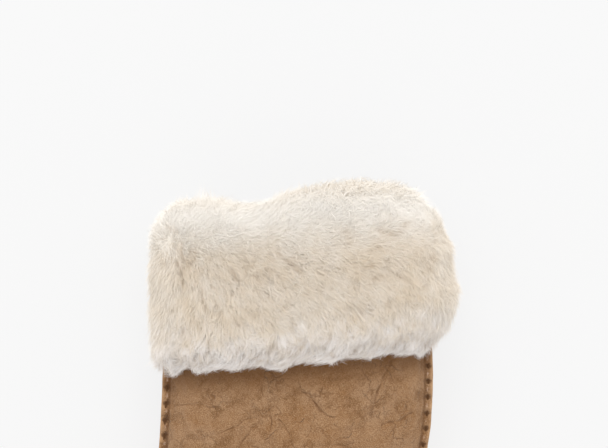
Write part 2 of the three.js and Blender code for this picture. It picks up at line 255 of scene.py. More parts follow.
def settled_across(points):
    """How far each point of the pouch has settled towards the little finger, in mm."""
    right = np.interp(points[:, 1], *zip(*RIGHT_EDGE)) * ramp(points[:, 0], 15, 45)
    return right + np.interp(points[:, 1], *zip(*LEFT_EDGE)) * ramp(-points[:, 0], 15, 45)


pattern_line = edge_of_band("back_panel")
pattern_line[:, 0] += settled_across(pattern_line)
edge_line, edge_at = walked(pattern_line, 0.5)
SIDE_STEPS = 4  # points on either side that even out the line, and that give its heading
evened = []
for column in edge_line.T:
    padded = np.pad(column, SIDE_STEPS, mode="edge")
    evened.append(np.convolve(padded, np.ones(2 * SIDE_STEPS + 1) / (2 * SIDE_STEPS + 1), "valid"))
edge_line = np.stack(evened, 1)
edge_turn = np.roll(edge_line, -SIDE_STEPS, axis=0) - np.roll(edge_line, SIDE_STEPS, axis=0)
edge_turn /= np.linalg.norm(edge_turn, axis=1, keepdims=True) + 1e-9
winding = np.sign(np.sum(edge_line[:, 0] * edge_turn[:, 1] - edge_line[:, 1] * edge_turn[:, 0]))
edge_inward = np.stack([-edge_turn[:, 1], edge_turn[:, 0]], axis=1) * winding

# The stitches start FIRST_STITCH mm from the line's end and stop a little way under the wool.
FIRST_STITCH = 2
LAST_STITCH = 4
stitch_rows = np.searchsorted(edge_at, np.arange(FIRST_STITCH, edge_at[-1], STITCH_PITCH))
stitch_rows = stitch_rows[stitch_rows < len(edge_at)]
stitch_rows = stitch_rows[edge_line[stitch_rows, 1] < LAST_STITCH]
stitch_spots = edge_line[stitch_rows] + edge_inward[stitch_rows] * STITCH_INSET
stitch_turns = edge_turn[stitch_rows]


def finder(flat_spots):
    """A tree that finds the nearest of some spots that lie in one plane."""
    tree = kdtree.KDTree(len(flat_spots))
    for i, spot in enumerate(flat_spots):
        tree.insert((spot[0], spot[1], 0), i)
    tree.balance()
    return tree


edge_tree = finder(edge_line)
stitch_tree = finder(stitch_spots)

# Creases: depth and width in mm, then the points that each one runs through. The first
# SEEN_CREASES of the back are in the photograph, beside the cuff.
SEEN_CREASES = 14
BACK_CREASES = [
    (0.30, 0.9, [(-54, -19), (-45, -17.9), (-34.4, -19.6)]),
    (0.32, 0.8, [(-22.5, -23.2), (-26.7, -26.2), (-30.8, -28.6), (-35, -29.8)]),
    (0.30, 0.8, [(-18.3, -26.2), (-21.9, -27.4), (-23.1, -30.4), (-26.1, -33.3)]),
    (0.28, 1.0, [(-17.1, -6), (-16.8, -13.7)]),
    (0.30, 0.8, [(-13.6, -22.6), (-13, -35.7)]),
    (0.34, 0.7, [(-10, -23.8), (-6.4, -29.2), (-4, -34.5), (-2, -41)]),
    (0.50, 0.8, [(-0.5, -11.9), (2.5, -14.3), (6.1, -19.6), (9.6, -22.6), (12.6, -23.2)]),
    (0.25, 0.8, [(12.5, -25.6), (15.6, -29.2)]),
    (0.20, 1.2, [(3.7, -11.9), (12, -13.7)]),
    (0.36, 1.4, [(35.8, 0), (32.3, -6), (29.3, -15.5), (28.4, -22)]),
    (0.22, 1.0, [(23.3, -25.6), (27.5, -25)]),
    (0.30, 1.3, [(32.3, -26.2), (37.6, -25.6), (44.2, -22)]),
    (0.24, 0.9, [(6.1, -34.5), (13.8, -34.8), (21, -33.9)]),
    (0.22, 1.2, [(23.8, -10), (26.3, -6.7), (29.2, -4.6)]),
    (0.55, 2.6, [(-47, -62), (-38, -70), (-27, -74), (-15, -73)]),
    (0.50, 2.4, [(-50, -52), (-41, -58), (-33, -60)]),
    (0.45, 2.8, [(-2, -92), (14, -96), (30, -93), (42, -88)]),
    (0.40, 2.4, [(-24, -104), (-8, -110), (10, -111)]),
    (0.40, 2.2, [(24, -52), (36, -57), (47, -56)]),
    (0.40, 2.4, [(-62, -66), (-66, -74), (-68, -83)]),
    (0.36, 2.0, [(-76, -78), (-80, -86), (-81, -94)]),
    (0.30, 1.6, [(-8, -46), (2, -52), (10, -61)]),
    (0.28, 1.4, [(18, -68), (26, -78), (30, -84)]),
    (0.30, 1.6, [(-30, -84), (-24, -92), (-16, -97)]),
]
PALM_CREASES = [
    (0.7, 3.0, [(-44, -38), (-32, -52), (-26, -68), (-27, -84)]),
    (0.6, 2.8, [(-18, -66), (4, -74), (28, -73), (46, -66)]),
    (0.6, 2.8, [(-14, -92), (8, -97), (30, -96), (44, -90)]),
    (0.5, 2.4, [(-66, -62), (-70, -72), (-72, -82)]),
    (0.4, 2.2, [(10, -22), (28, -27), (46, -24)]),
]


def near_line(points, line):
    """How far each point is from a crease, in mm, seen from above."""
    nearest = np.full(len(points), 1e9)
    for a, b in zip(line[:-1], line[1:]):
        a, b = np.array(a, float), np.array(b, float)
        t = np.clip(((points[:, :2] - a) @ (b - a)) / ((b - a) @ (b - a)), 0, 1)
        reach = np.linalg.norm(points[:, :2] - (a + t[:, None] * (b - a)), axis=1)
        nearest = np.minimum(nearest, reach)
    return nearest


def finer(piece, low, high, creases=None):
    """Halves the faces that look up between two distances along, or only those near creases."""
    points, normals = points_of(piece.data), normals_of(piece.data)
    wanted = (points[:, 1] > low) & (points[:, 1] < high) & (normals[:, 2] > -0.1)
    if creases is not None:
        wanted &= np.min([near_line(points, line) for _, _, line in creases], axis=0) < 2.0
    select_only(piece)
    bpy.ops.object.mode_set(mode="EDIT")
    bpy.ops.mesh.select_mode(type="VERT")
    bpy.ops.mesh.select_all(action="DESELECT")
    bpy.ops.object.mode_set(mode="OBJECT")
    piece.data.vertices.foreach_set("select", wanted)
    bpy.ops.object.mode_set(mode="EDIT")
    bpy.ops.mesh.subdivide(number_cuts=1)
    bpy.ops.object.mode_set(mode="OBJECT")


def dress_hide(piece, up, creases):
    """Gives a panel its creases, the puckers of its seam and the marks its suede reads."""
    mesh = piece.data
    points, normals = points_of(mesh), normals_of(mesh)

    # The band's cut edge is made straight where the small faces left it stepped.
    edge = np.array([edge_tree.find((p[0], p[1], 0))[1:] for p in points])
    row = edge[:, 0].astype(int)
    from_edge, at = edge[:, 1], edge_at[row]
    inward = edge_inward[row]
    proud = np.sum((points[:, :2] - edge_line[row]) * inward, axis=1)
    facing_out = ramp(-np.sum(normals[:, :2] * inward, axis=1), 0.15, 0.6)
    facing_out *= 1 - ramp(from_edge, 1.2, 2.2)
    points[:, :2] -= inward * (proud * facing_out)[:, None]

    # The suede is the outside. The inside is wool, and the band has none.
    from_stitch = np.array([stitch_tree.find((p[0], p[1], 0))[2] for p in points])
    outside = ramp(normals[:, 2] * up, -0.35, 0.05)
    inside = ramp(from_edge, 5.0, 7.0) * ramp(-normals[:, 2] * up, 0.15, 0.5)
    outside *= 1 - inside

    # Creases, each a valley with a low swell on both sides, and broad soft waves.
    lift = np.zeros(len(points))
    shade = np.zeros(len(points))
    bend = [cloudy(points, 4.5, 61), cloudy(points, 4.5, 62), np.zeros(len(points))]
    bent = points + np.stack(bend, axis=1)
    for depth, width, line in creases:
        off = near_line(bent, line) + 0.3 * width * cloudy(points, 3.5, len(line))
        valley = np.exp(-((off / (0.62 * width)) ** 2))
        lift += depth * (0.35 * np.exp(-((off / (3.2 * width)) ** 2)) - valley)
        # Painted shade: along each crease the colour is darkened, more at deeper creases, and broken
        # up along the line.
        shade_breakup = np.clip(0.6 + 1.1 * cloudy(points, 3.2, 7 + len(line)), 0, 1.2)
        shade += np.exp(-((off / (0.34 * width)) ** 2)) * min(1.0, depth / 0.35) * shade_breakup
    lift += 0.55 * cloudy(points, 21, 1) + 0.22 * cloudy(points, 8, 2) + 0.07 * cloudy(points, 3.2, 3)
    lift *= ramp(from_edge, BAND, BAND + 5)

    # The seam: a step at the band's foot, drawn in at each stitch, with a dimple under it.
    phase = np.cos(2 * np.pi * (at - FIRST_STITCH) / STITCH_PITCH)
    lift -= 0.4 * np.exp(-(((from_edge - BAND - 0.1) / 0.6) ** 2))
    lift -= 0.14 * phase * np.exp(-np.clip(from_edge - BAND, 0, 99) / 2.4)
    lift -= 0.55 * np.exp(-((from_stitch / 1.3) ** 2))
    lift += 0.16 * np.exp(-(((from_edge - 1.4) / 1.2) ** 2)) * (1 - phase) / 2
    flat_band = (1 - ramp(from_edge, 1.0, 3.2))[:, None]
    push = normals * (1 - flat_band) + np.array([0, 0, up]) * flat_band
    points += push * (lift * outside)[:, None]
    points[:, 2] = np.maximum(points[:, 2], 0.05)
    put_points(mesh, points)

    # Painted shade in the crease valleys.
    mark(mesh, "crease", np.clip(shade, 0, 1) * outside)
    mark(mesh, "wool side", inside)
    # Painted shadow: the suede is darkened in a band just below the wool's lower edge, where the wool
    # casts its shadow.
    under_wool = 1.2 - 0.08 * points[:, 0] + points[:, 1]
    mark(mesh, "shadow_under_wool", ramp(under_wool, -13, -0.5) * outside)
    mark(mesh, "cut edge", 1 - ramp(from_edge, 0.5, 1.6))
    # Painted shade in the groove at the band's foot.
    mark(mesh, "seam", np.exp(-(((from_edge - BAND + 0.05) / 0.42) ** 2)) * outside)
    # Painted shade: the dimple round each stitch is darkened, and on the thumb's side near the cuff a
    # painted shadow of the band's step runs along the stitches.
    tight_side = ramp(-points[:, 0], 20, 40) * ramp(points[:, 1], -60, -45)
    groove_shadow = tight_side * np.exp(-(((from_edge - 2.4) / 0.65) ** 2)) * (0.6 + 0.4 * phase)
    mark(mesh, "stitch_dimple_shade", np.maximum(np.exp(-((from_stitch / 1.5) ** 2)), groove_shadow) * outside)
    # Painted highlight: the puckers between the stitches are lightened.
    pucker_highlight = np.exp(-(((from_edge - 2.2) / 0.8) ** 2)) * (0.5 - 0.5 * phase) * outside
    mark(mesh, "pucker_highlight", pucker_highlight)


# How the mouth's rim has settled where it lies: mm out of the mouth, by mm across.
RIM = [
    (-60, -1.5), (-51.7, -2.3), (-45.4, -2.6), (-39.2, -2.8), (-32.9, -2.9), (-26.7, -4.6),
    (-20.4, -5.0), (-14.2, -4.4), (-7.9, -1.8), (-1.7, -0.4), (4.6, 0.7), (10.8, 1.6), (17.1, 1.2),
    (23.3, 1.3), (29.6, 0.4), (35.8, -0.6), (42.1, -2.5), (48.3, -5.4), (54.6, -3.0), (60, -1.5),
]


def settled(points):
    """How far each point near the mouth's rim has settled out of the mouth, in mm."""
    low = (1 - ramp(points[:, 2], 12, 30)) * (1 - ramp(np.abs(points[:, 0]), 30, 54))
    return (np.interp(points[:, 0], *zip(*RIM)) + 0.5 - 5.0 * low) * ramp(points[:, 1], 44, 70)


def settle_hide(piece):
    """Draws a panel's sleeve in with the wool that covers it, and settles its two edges."""
    points = points_of(piece.data)
    points[:, 0] += settled_across(points)
    points[:, 1] += np.minimum(0, settled(points))
    put_points(piece.data, points)


back = merged_copy("back_panel", "suede_back")
soften(back, HIDE_GRAIN, HIDE_ROUNDS)
settle_hide(back)
finer(back, -46, 4)
finer(back, -44, 3, BACK_CREASES[:SEEN_CREASES])
dress_hide(back, 1, BACK_CREASES)
palm = merged_copy("palm_panel", "suede_palm")
soften(palm, 1.3 * HIDE_GRAIN, HIDE_ROUNDS)
settle_hide(palm)
dress_hide(palm, -1, PALM_CREASES)


def new_material(name):
    """A material, its nodes, its surface shader and the place on the piece that they read."""
    material = bpy.data.materials.new(name)
    material.use_nodes = True
    tree = material.node_tree
    place = tree.nodes.new("ShaderNodeTexCoord").outputs["Object"]
    return material, tree, tree.nodes["Principled BSDF"], place


def marked(tree, name):
    """The number that mark has kept for each point under this name."""
    node = tree.nodes.new("ShaderNodeAttribute")
    node.attribute_name = name
    return node.outputs["Fac"]


def spots(tree, place, size, detail=3.0, rough=0.5):
    """Noise with spots about size mm across, from 0 to 1."""
    node = tree.nodes.new("ShaderNodeTexNoise")
    node.inputs["Scale"].default_value = 1000 / size
    node.inputs["Detail"].default_value = detail
    node.inputs["Roughness"].default_value = rough
    tree.links.new(place, node.inputs["Vector"])
    return node.outputs["Fac"]


def between(tree, value, low, high, out_low=0.0, out_high=1.0):
    """Turns low to high into out_low to out_high, and stays within them."""
    node = tree.nodes.new("ShaderNodeMapRange")
    node.inputs["From Min"].default_value = low
    node.inputs["From Max"].default_value = high
    node.inputs["To Min"].default_value = out_low
    node.inputs["To Max"].default_value = out_high
    tree.links.new(value, node.inputs["Value"])
    return node.outputs["Result"]


def feed(tree, value, socket):
    """Gives a socket another node's output, a colour or a number."""
    if isinstance(value, bpy.types.NodeSocket):
        tree.links.new(value, socket)
    elif isinstance(value, tuple):
        socket.default_value = (*value, 1)
    else:
        socket.default_value = value


def blended(tree, amount, first, second):
    """Mixes two colours: the first where the amount is 0, the second where it is 1."""
    node = tree.nodes.new("ShaderNodeMix")
    node.data_type = "RGBA"
    feed(tree, amount, node.inputs[0])
    feed(tree, first, node.inputs[6])
    feed(tree, second, node.inputs[7])
    return node.outputs[2]


def stained(tree, colour, name, strength, stain):
    """Lays a stain over a colour, as strong as strength where the mark of that name is 1."""
    return blended(tree, between(tree, marked(tree, name), 0, 1, 0.0, strength), colour, stain)


def reckoned(tree, kind, first, second):
    """Adds two values, or multiplies, subtracts or compares them, as kind says."""
    node = tree.nodes.new("ShaderNodeMath")
    node.operation = kind
    feed(tree, first, node.inputs[0])
    feed(tree, second, node.inputs[1])
    return node.outputs[0]


def raised(tree, height, depth, under=None):
    """A relief of depth mm, on top of the one under it."""
    node = tree.nodes.new("ShaderNodeBump")
    node.inputs["Distance"].default_value = depth / 1000
    tree.links.new(height, node.inputs["Height"])
    if under is not None:
        tree.links.new(under, node.inputs["Normal"])
    return node.outputs["Normal"]


def veined(tree, place, size, width):
    """Fine creases in a bent net with meshes about size mm across: 1 on a crease, 0 beside it."""
    warp = tree.nodes.new("ShaderNodeTexNoise")
    warp.inputs["Scale"].default_value = 2200 / size
    tree.links.new(place, warp.inputs["Vector"])
    push = tree.nodes.new("ShaderNodeVectorMath")
    push.operation = "MULTIPLY_ADD"
    push.inputs[1].default_value = (size * 0.0009,) * 3
    tree.links.new(warp.outputs["Color"], push.inputs[0])
    tree.links.new(place, push.inputs[2])
    net = tree.nodes.new("ShaderNodeTexVoronoi")
    net.feature = "DISTANCE_TO_EDGE"
    net.inputs["Scale"].default_value = 1000 / size
    tree.links.new(push.outputs[0], net.inputs["Vector"])
    return between(tree, net.outputs["Distance"], 0, width, 1.0, 0.0)


suede, tree, shader, place = new_material("tan suede")
nap = spots(tree, place, 0.3, 1.0, 0.5)
brushed = spots(tree, place, 4.5, 4.0, 0.55)
patches = spots(tree, place, 17, 3.0, 0.5)
rumples = spots(tree, place, 7, 4.0, 0.6)
colour = blended(tree, between(tree, patches, 0.4, 0.6), (0.285, 0.135, 0.049), (0.362, 0.21, 0.112))
colour = blended(tree, between(tree, brushed, 0.36, 0.64, 0.0, 0.8), colour, (0.388, 0.22, 0.11))
# Painted shade: the hollows of the broad folds, which the bump below raises from the same noise, are
# darkened.
colour = blended(tree, between(tree, rumples, 0.36, 0.5, 0.85, 0.0), colour, (0.2, 0.088, 0.027))
colour = blended(tree, between(tree, nap, 0.25, 0.5, 1.0, 0.0), colour, (0.15, 0.07, 0.028))
colour = blended(tree, between(tree, nap, 0.5, 0.75, 0.0, 1.0), colour, (0.50, 0.315, 0.175))
veins = veined(tree, place, 13, 0.035)
vein_gaps = between(tree, spots(tree, place, 9, 2.0, 0.5), 0.42, 0.62)
broken = reckoned(tree, "MULTIPLY", veins, vein_gaps)
small_gaps = between(tree, patches, 0.45, 0.62, 0.0, 0.7)
small_veins = reckoned(tree, "MULTIPLY", veined(tree, place, 6, 0.05), small_gaps)
wrinkles = reckoned(tree, "MAXIMUM", broken, small_veins)
# Painted shade: the fine creases, which the bump also sinks, are darkened.
colour = blended(tree, between(tree, wrinkles, 0, 1, 0.0, 0.75), colour, (0.165, 0.069, 0.021))
# Painted shade darkens the suede along the creases.
colour = stained(tree, colour, "crease", 0.85, (0.13, 0.053, 0.017))
# Painted shadow of the wool on the suede just below its lower edge.
colour = stained(tree, colour, "shadow_under_wool", 0.72, (0.155, 0.065, 0.02))
colour = stained(tree, colour, "cut edge", 0.85, (0.55, 0.33, 0.175))
# Painted shade darkens the groove at the band's foot.
colour = stained(tree, colour, "seam", 0.7, (0.14, 0.062, 0.024))
# Painted shade in the stitch dimples, and the painted shadow of the band's step.
ragged = reckoned(tree, "ADD", marked(tree, "stitch_dimple_shade"), spots(tree, place, 1.1, 3.0, 0.6))
colour = blended(tree, between(tree, ragged, 0.85, 1.3, 0.0, 0.85), colour, (0.085, 0.034, 0.012))
# Painted highlight on the puckers between the stitches.
specks = reckoned(tree, "ADD", marked(tree, "pucker_highlight"), spots(tree, place, 0.9, 2.0, 0.6))
colour = blended(tree, between(tree, specks, 1.2, 1.6, 0.0, 0.7), colour, (0.62, 0.43, 0.33))
pile = blended(tree, spots(tree, place, 2.2, 4.0, 0.6), (0.5, 0.39, 0.27), (0.78, 0.69, 0.56))
colour = blended(tree, marked(tree, "wool side"), colour, pile)
tree.links.new(colour, shader.inputs["Base Color"])
tree.links.new(between(tree, nap, 0.3, 0.7, 0.98, 0.86), shader.inputs["Roughness"])
folds = raised(tree, rumples, 1.1)
half_wrinkles = reckoned(tree, "MULTIPLY", wrinkles, 0.5)
coarse = raised(tree, reckoned(tree, "SUBTRACT", brushed, half_wrinkles), 0.5, folds)
fine = raised(tree, nap, 0.32, coarse)
fuzz = spots(tree, place, 3.0, 6.0, 0.8)
deep = reckoned(tree, "MULTIPLY", fuzz, marked(tree, "wool side"))
tree.links.new(raised(tree, deep, 2.5, fine), shader.inputs["Normal"])
shader.inputs["Specular IOR Level"].default_value = 0.2
shader.inputs["Sheen Weight"].default_value = 0.25
shader.inputs["Sheen Roughness"].default_value = 0.55
shader.inputs["Sheen Tint"].default_value = (1.0, 0.82, 0.64, 1)

for hide, node in ((back, "back_panel"), (palm, "palm_panel")):
    hide.data.materials.append(suede)
    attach(hide, "root")
    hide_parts(node)


# Seam thread: waxed brown thread in a saddle stitch right through the band. One stitch is
# modelled and copied all round, sunk into its dimple on the back and again on the palm.
STITCH_LONG = 1.7
STITCH_THICK = 0.95
bpy.ops.object.select_all(action="DESELECT")
bpy.ops.mesh.primitive_cylinder_add(vertices=6, radius=STITCH_THICK / 2000, depth=STITCH_LONG / 1000)
stitch = bpy.context.active_object
bpy.ops.object.mode_set(mode="EDIT")
bpy.ops.mesh.select_all(action="SELECT")
bpy.ops.transform.rotate(value=math.pi / 2, orient_axis="Y", center_override=(0, 0, 0))
bpy.ops.mesh.select_all(action="DESELECT")
bpy.ops.object.mode_set(mode="OBJECT")
for end in (-1, 1):
    for face in stitch.data.polygons:
        face.select = face.normal.x * end > 0.9
    bpy.ops.object.mode_set(mode="EDIT")
    bpy.ops.mesh.select_mode(type="FACE")
    bpy.ops.mesh.extrude_region_move(TRANSFORM_OT_translate={"value": (end * 0.0003, 0, -0.0002)})
    tip_place = (end * STITCH_LONG / 2000, 0, -0.0002)
    bpy.ops.transform.resize(value=(1, 0.6, 0.6), center_override=tip_place)
    bpy.ops.mesh.extrude_region_move(TRANSFORM_OT_translate={"value": (end * 0.0001, 0, -0.0004)})
    bpy.ops.object.mode_set(mode="OBJECT")
stitch_points = points_of(stitch.data) + ORIGIN
stitch_faces = [list(face.vertices) for face in stitch.data.polygons]
bpy.data.objects.remove(stitch)

wander = np.random.default_rng(11)
seam_points, seam_faces = [], []
for side, hide in ((1, back), (-1, palm)):
    surface = BVHTree.FromObject(hide, bpy.context.evaluated_depsgraph_get())
    for spot, turn in zip(stitch_spots, stitch_turns):
        level = float(seam_height(spot[1]))
        start = Vector((np.array([spot[0], spot[1], level + side * 9]) + ORIGIN) / 1000)
        hit = surface.ray_cast(start, Vector((0, 0, -side)), 0.012)
        if hit[0] is None:
            continue
        top = np.array(hit[0]) * 1000
        spin = math.atan2(turn[1], turn[0]) + wander.normal(0, 0.06)
        along = np.array([math.cos(spin), math.sin(spin), 0])
        across = np.array([-math.sin(spin), math.cos(spin), 0]) * side
        stretch = 2.2 if spot[0] < -20 and spot[1] > -50 else wander.uniform(1.0, 1.35)
        rows = np.stack([along * stretch, across, np.array([0, 0, side])])
        seam_faces += [[i + len(seam_points) * len(stitch_points) for i in f] for f in stitch_faces]
        seam_points.append(stitch_points @ rows + top - np.array([0, 0, side * 0.05]))
thread = bpy.data.objects.new("seam_thread", bpy.data.meshes.new("seam_thread"))
thread.data.from_pydata((np.concatenate(seam_points) / 1000).tolist(), [], seam_faces)
thread.data.shade_smooth()
bpy.context.scene.collection.objects.link(thread)

waxed, tree, shader, place = new_material("waxed brown thread")
plies = spots(tree, place, 0.5, 2.0, 0.5)
colour = blended(tree, plies, (0.05, 0.02, 0.007), (0.16, 0.075, 0.03))
tree.links.new(colour, shader.inputs["Base Color"])
tree.links.new(raised(tree, plies, 0.1), shader.inputs["Normal"])
shader.inputs["Roughness"].default_value = 0.8
shader.inputs["Specular IOR Level"].default_value = 0.15
thread.data.materials.append(waxed)
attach(thread, "root")


# Wool of the cuff: the sheepskin is turned back over the pouch with its wool side out, and
# the wool is combed. Its base is the dense pile near the hide, a little inside the cuff's
# outer form, and the strands that grow from it close that form in soft tufts.
FORM_GRAIN = 0.0019  # size of the form's faces, in metres
FORM_ROUNDS = 24
PILE_DEPTH = 2.5  # how deep under the form the strands have their roots, in mm
SHELL = 0.9  # how far the form is drawn in, to leave room for the strands, in mm
CUFF_SLANT = 0.073  # how far out of square the cuff's lower edge lies, in mm a mm across
CUFF_MIDDLE = 24  # height of the middle of the mouth, in mm
LIP_BEYOND = 30  # wool that faces the hand beyond this, in mm along, is the rolled-in lip
form = merged_copy("fur_cuff", "wool_base")
soften(form, FORM_GRAIN, FORM_ROUNDS)

# How the cuff's two sides have settled: mm towards the little finger, by mm along.
CUFF_RIGHT = [
    (0, -1.2), (5, -1.0), (9.2, -0.2), (13.3, 0.8), (17.5, 0.1), (21.7, 0.4), (25.8, -0.1),
    (30, -0.8), (34.2, -2.4), (38.3, -2.1), (42.5, -1.2), (46.7, 0.2), (50.8, 0.1),
    (56, -0.4), (66, -0.4),
]
CUFF_LEFT = [
    (-6, -0.9), (0, -1.2), (5, -0.3), (12, 0.6), (30, 0.8), (42, 0.2), (50, -0.4),
    (58, -0.6), (66, -0.4),
]
# How far the wool's lower edge on the back has drawn up, in mm, by mm across.
DRAWN_UP = [
    (-60, 1.0), (-51.7, 2.3), (-45, 1.2), (-20, 1.5), (17, 1.6), (29.6, 3.4), (36, 2.6),
    (42, 2.0), (48, 0.2), (56, -0.8),
]
form_points = points_of(form.data)
across, along = form_points[:, 0].copy(), form_points[:, 1].copy()
form_points[:, 1] += settled(form_points)
form_points[:, 0] += np.interp(along, *zip(*CUFF_RIGHT)) * ramp(across, 36, 58)
form_points[:, 0] += np.interp(along, *zip(*CUFF_LEFT)) * ramp(-across, 36, 58)
low_edge = (1 - ramp(along - CUFF_SLANT * across, -2, 16)) * ramp(form_points[:, 2], 16, 30)
form_points[:, 1] += np.interp(across, *zip(*DRAWN_UP)) * low_edge
put_points(form.data, form_points)
form_normals = normals_of(form.data)
outwards = across * form_normals[:, 0] + (form_points[:, 2] - CUFF_MIDDLE) * form_normals[:, 2]
outwards += 20 * form_normals[:, 1]
drawn_in = SHELL * ramp(outwards, 0, 4) * ramp(form_points[:, 2], 1, 6)
form_points -= form_normals * drawn_in[:, None]
put_points(form.data, form_points)
graph = bpy.context.evaluated_depsgraph_get()
form_tree = BVHTree.FromObject(form, graph)
hide_trees = [BVHTree.FromObject(back, graph), BVHTree.FromObject(palm, graph)]


def against_hide(points, normals):
    """True where the pouch is within 3.5 mm of the wool it faces, so that nobody sees it."""
    found = []
    for p, n in zip((points + ORIGIN) / 1000, normals):
        start, way = Vector(p + n * 5e-5), Vector(n)
        found.append(any(t.ray_cast(start, way, 0.0035)[0] is not None for t in hide_trees))
    return np.array(found)


def up_cuff(points):
    """How far up the cuff each point lies from its slanting lower edge, in mm."""
    return points[:, 1] - CUFF_SLANT * points[:, 0]


# The pile: the same form, sunk in where it is seen, less so at the rim, and a little uneven.
hidden = against_hide(form_points, form_normals)
sink = np.where(hidden, 0.0, PILE_DEPTH)
sink *= ramp(form_points[:, 2], 0.5, 5)
sink *= 1 - 0.55 * ramp(up_cuff(form_points), 36, 50)
sink += 0.5 * cloudy(form_points, 4, 5) * (sink > 0)
put_points(form.data, form_points - form_normals * sink[:, None])
round_off(form, 3)

# How the wool of the back is combed: where, in mm across and along from the middle of the
# cuff's lower edge, then the heading in degrees, 0 towards the little finger and 90 out of
# the mouth. Between these spots the headings blend.
COMB = [
    (-60, 63, 100), (-40, 63, 95), (-18, 63, 88), (6, 63, 88), (30, 63, 84), (54, 62, 80),
    (-62, 51, 140), (-62, 46, 180), (-50, 55, 62), (-40, 55, 55), (-30, 56, 50),
    (-18, 57, 45), (-4, 56, 40), (14, 56, 35), (32, 55, 30), (52, 54, 40),
    (-50, 46, 345), (-40, 47, 350), (-32, 48, 347), (-24, 49, 345),
    (-12, 48, 345), (4, 48, 335), (18, 48, 340), (32, 48, 335), (46, 47, 330), (58, 46, 300),
    (-62, 41, 222), (-50, 38, 305), (-40, 39, 305), (-60, 34, 256), (-48, 32, 280), (-38, 34, 295),
    (36, 37, 310), (48, 37, 290), (58, 37, 282),
    (-60, 27, 268), (-54, 26, 268), (-43, 25, 283), (-30, 34, 312), (-28, 19, 318), (-14, 34, 325),
    (-13, 15, 328), (-4, 22, 335), (1, 38, 325), (4, 30, 330), (10, 22, 330), (25, 30, 335),
    (25, 21, 325), (34, 26, 300), (42, 26, 280), (40, 13, 258), (49, 15, 268), (58, 20, 266),
    (-60, 8, 266), (-49, 7, 250), (-46, 14, 262), (-40, 5, 247), (-28, 4, 242), (-16, 4, 240),
    (-4, 4, 240), (4, 5, 240), (10, 8, 242), (19, 5, 240), (28, 7, 244), (40, 6, 250), (52, 7, 262),
    (-30, 12, 280), (-10, 11, 275), (8, 14, 285), (22, 13, 278), (-48, -2, 240), (-34, -3, 236),
    (-20, -3, 234), (-6, -2, 234), (10, -2, 234), (24, 0, 237), (40, 0, 246),
]

# Where the wool parts, deep and wide in mm, then the points that each parting runs through.
PARTINGS = [
    (1.2, 2.0, [(-51.4, 48.3), (-50.8, 45.0), (-50.2, 41.7)]),
    (1.2, 1.8, [(-44.6, 44.6), (-46.7, 42.1), (-48.3, 39.2)]),
    (0.9, 1.8, [(-52.9, 40.4), (-50.8, 37.9), (-49.6, 30.8)]),
    (0.8, 2.2, [(-29.6, 37.5), (-27.9, 34.2)]),
    (0.9, 2.6, [(-19.6, 34.2), (-15.0, 36.7)]),
    (0.9, 1.6, [(-10.6, 45.2), (-5.8, 40.8), (-1.7, 37.5)]),
    (0.7, 2.0, [(-60.0, 44.2), (-58.3, 40.0)]),
    (0.7, 1.6, [(-42.1, 30.0), (-41.5, 25.0), (-40.8, 22.1)]),
    (0.6, 1.4, [(-56.4, 55.4), (-52.3, 52.9)]),
    (0.9, 1.4, [(29.9, 55.0), (32.5, 53.3), (35.3, 52.7)]),
    (0.9, 1.4, [(42.4, 57.5), (40.0, 54.2), (37.1, 51.5)]),
    (0.7, 1.6, [(26.2, 44.6), (31.1, 46.7)]),
    (0.6, 1.8, [(25.0, 39.0), (28.3, 39.6)]),
    (0.7, 1.6, [(27.5, 34.2), (33.3, 35.4)]),
    (0.7, 1.6, [(38.3, 34.8), (43.6, 33.0)]),
    (0.7, 1.8, [(53.8, 43.8), (51.7, 37.5), (49.6, 30.7)]),
    (0.5, 1.6, [(16.7, 53.3), (18.6, 48.5)]),
    (0.6, 1.4, [(-36.8, 23.8), (-33.2, 19.6)]),
    (0.6, 1.4, [(-26.7, 16.2), (-23.1, 15.4)]),
    (0.7, 1.4, [(-38.6, 7.8), (-39.6, 4.2), (-41.7, 1.2)]),
    (1.6, 1.5, [(-43.3, 2.5), (-46.7, -1.7), (-47.9, -4.6)]),
    (0.5, 1.4, [(-49.2, 13.3), (-50.0, 10.4)]),
    (0.5, 1.6, [(35.8, 25.6), (34.0, 23.2)]),
    (0.5, 1.4, [(18.6, 18.5), (24.6, 20.3)]),
    (0.6, 1.6, [(40.0, 9.6), (36.4, 6.0)]),
    (0.6, 1.4, [(22.1, 7.1), (20.8, 3.3)]),
    (0.6, 1.6, [(-25.0, 6.2), (-27.5, 2.5)]),
    (0.6, 1.6, [(-11.7, 7.5), (-15.0, 3.3)]),
    (0.6, 1.6, [(0.8, 9.2), (-2.5, 4.6)]),
    (0.6, 1.6, [(10.8, 10.0), (8.3, 5.8)]),
]


def parted(points):
    """How deep in a parting each place lies, as the strength of its painted shade, and how far it
    sinks there, in mm.
    """
    shade, sink = np.zeros(len(points)), np.zeros(len(points))
    bent = points[:, :2] + np.stack([cloudy(points, 5, 41), cloudy(points, 5, 42)], axis=1)
    for depth, width, line in PARTINGS:
        valley = np.exp(-((near_line(bent, line) / (0.55 * width)) ** 2))
        shade = np.maximum(shade, valley * min(1, 0.4 + 0.5 * depth))
        sink = np.maximum(sink, valley * depth)
    return shade, sink


def unit(ways):
    """The same directions, each as an arrow of length one."""
    return ways / (np.linalg.norm(ways, axis=-1, keepdims=True) + 1e-9)


def towards_hand(points, normals):
    """True on the lip that is rolled into the mouth, which faces the hand."""
    outwards = points[:, 0] * normals[:, 0] + (points[:, 2] - CUFF_MIDDLE) * normals[:, 2]
    return (outwards < 0) & (points[:, 1] > LIP_BEYOND)


